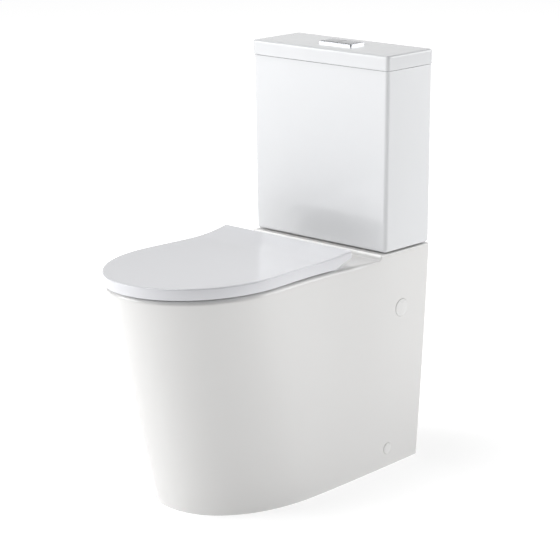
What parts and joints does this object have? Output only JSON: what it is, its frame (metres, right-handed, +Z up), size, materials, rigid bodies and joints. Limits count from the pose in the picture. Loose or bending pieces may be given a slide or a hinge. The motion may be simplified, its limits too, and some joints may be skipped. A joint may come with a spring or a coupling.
{
  "type": "close coupled toilet",
  "caption": "Skirted back-to-wall toilet pan with a box cistern, rectangular dual flush button and a slim wrap-over seat that hinges at the back.",
  "frame": {"origin": "on the floor, at the middle of the overall width and depth", "axes": "+X to the right when facing the front, +Y back towards the wall, +Z up"},
  "size_m": [0.361, 0.676, 0.8556],
  "materials": {
    "pan_glaze": "glossy white vitreous china glaze",
    "cistern_glaze": "glossy white vitreous china glaze",
    "seat_plastic": "polished white thermoset",
    "chrome": "bright chrome plate",
    "cap_plastic": "satin white moulded plastic",
    "valve_plastic": "moulded white plastic",
    "blue_plastic": "moulded blue plastic",
    "nylon": "moulded natural nylon",
    "clear_rubber": "soft translucent pads",
    "black_rubber": "black rubber",
    "foam": "dense closed-cell foam",
    "steel": "zinc plated and stainless steel"
  },
  "bodies": {
    "toilet": {"pan_skirt": "pan_glaze", "pan_deck": "pan_glaze", "pan_bowl": "pan_glaze", "pan_trap": "pan_glaze", "pan_flush_way": "pan_glaze", "cistern_tank": "cistern_glaze", "hinge_posts": "chrome", "hinge_feet": "chrome", "hinge_pins": "steel", "seat_bolts": "steel", "seat_bolt_washers": "black_rubber", "seat_bolt_nuts": "nylon", "flush_valve_base": "valve_plastic", "flush_valve_washer": "black_rubber", "flush_valve_cage": "valve_plastic", "flush_valve_nut": "nylon", "coupling_gasket": "foam", "coupling_bolts": "steel", "coupling_washers": "black_rubber", "coupling_wing_nuts": "nylon", "fill_valve_body": "valve_plastic", "fill_valve_head": "blue_plastic", "inlet_washers": "black_rubber", "inlet_nuts": "nylon", "inlet_plug": "valve_plastic", "upper_side_caps": "cap_plastic", "lower_side_caps": "cap_plastic", "bracket_screws": "steel", "floor_brackets": "nylon"},
    "cistern_lid": {"cistern_lid": "cistern_glaze", "button_bezel": "chrome", "button_clamp": "valve_plastic"},
    "full_button": {"full_flush_button": "chrome", "full_flush_push_rod": "valve_plastic", "full_flush_spring": "steel"},
    "half_button": {"half_flush_button": "chrome", "half_flush_push_rod": "valve_plastic", "half_flush_spring": "steel"},
    "seat_ring": {"seat_ring": "seat_plastic", "ring_bumpers": "clear_rubber", "ring_dampers": "valve_plastic"},
    "seat_lid": {"seat_lid": "seat_plastic", "lid_bumpers": "clear_rubber", "lid_dampers": "valve_plastic"},
    "full_plunger": {"full_flush_plunger": "blue_plastic"},
    "half_plunger": {"half_flush_plunger": "blue_plastic"},
    "flush_tube": {"flush_valve_tube": "blue_plastic", "flush_valve_seal": "black_rubber"},
    "fill_float": {"fill_valve_float": "blue_plastic"}
  },
  "joints": [
    {"name": "ring_hinge", "type": "hinge", "parent": "toilet", "child": "seat_ring", "pos_m": [0, 0.092, 0.466], "axis": [-1, 0, 0], "range_deg": [0, 97]},
    {"name": "lid_hinge", "type": "hinge", "parent": "seat_ring", "child": "seat_lid", "pos_m": [0, 0.092, 0.466], "axis": [1, 0, 0], "range_deg": [-100, 0]},
    {"name": "cistern_lid_lift", "type": "slide", "parent": "toilet", "child": "cistern_lid", "axis": [0, 0, 1], "range_m": [0, 0.2]},
    {"name": "full_flush_press", "type": "slide", "parent": "cistern_lid", "child": "full_button", "axis": [0, 0, -1], "range_m": [0, 0.006], "stiffness_N_per_m": 900, "springref_m": -0.004, "deforming": ["full_flush_spring"]},
    {"name": "half_flush_press", "type": "slide", "parent": "cistern_lid", "child": "half_button", "axis": [0, 0, -1], "range_m": [0, 0.006], "stiffness_N_per_m": 900, "springref_m": -0.004, "deforming": ["half_flush_spring"]},
    {"name": "full_plunger_slide", "type": "slide", "parent": "toilet", "child": "full_plunger", "axis": [0, 0, -1], "range_m": [0, 0.006]},
    {"name": "half_plunger_slide", "type": "slide", "parent": "toilet", "child": "half_plunger", "axis": [0, 0, -1], "range_m": [0, 0.006]},
    {"name": "flush_tube_lift", "type": "slide", "parent": "toilet", "child": "flush_tube", "axis": [0, 0, 1], "range_m": [0, 0.02]},
    {"name": "fill_float_drop", "type": "slide", "parent": "toilet", "child": "fill_float", "axis": [0, 0, 1], "range_m": [-0.03, 0]}
  ],
  "couplings": [
    {"joint": "full_plunger_slide", "follows": "full_flush_press", "ratio": 1},
    {"joint": "half_plunger_slide", "follows": "half_flush_press", "ratio": 1},
    {"joint": "flush_tube_lift", "follows": "full_flush_press", "ratio": 3.333}
  ]
}
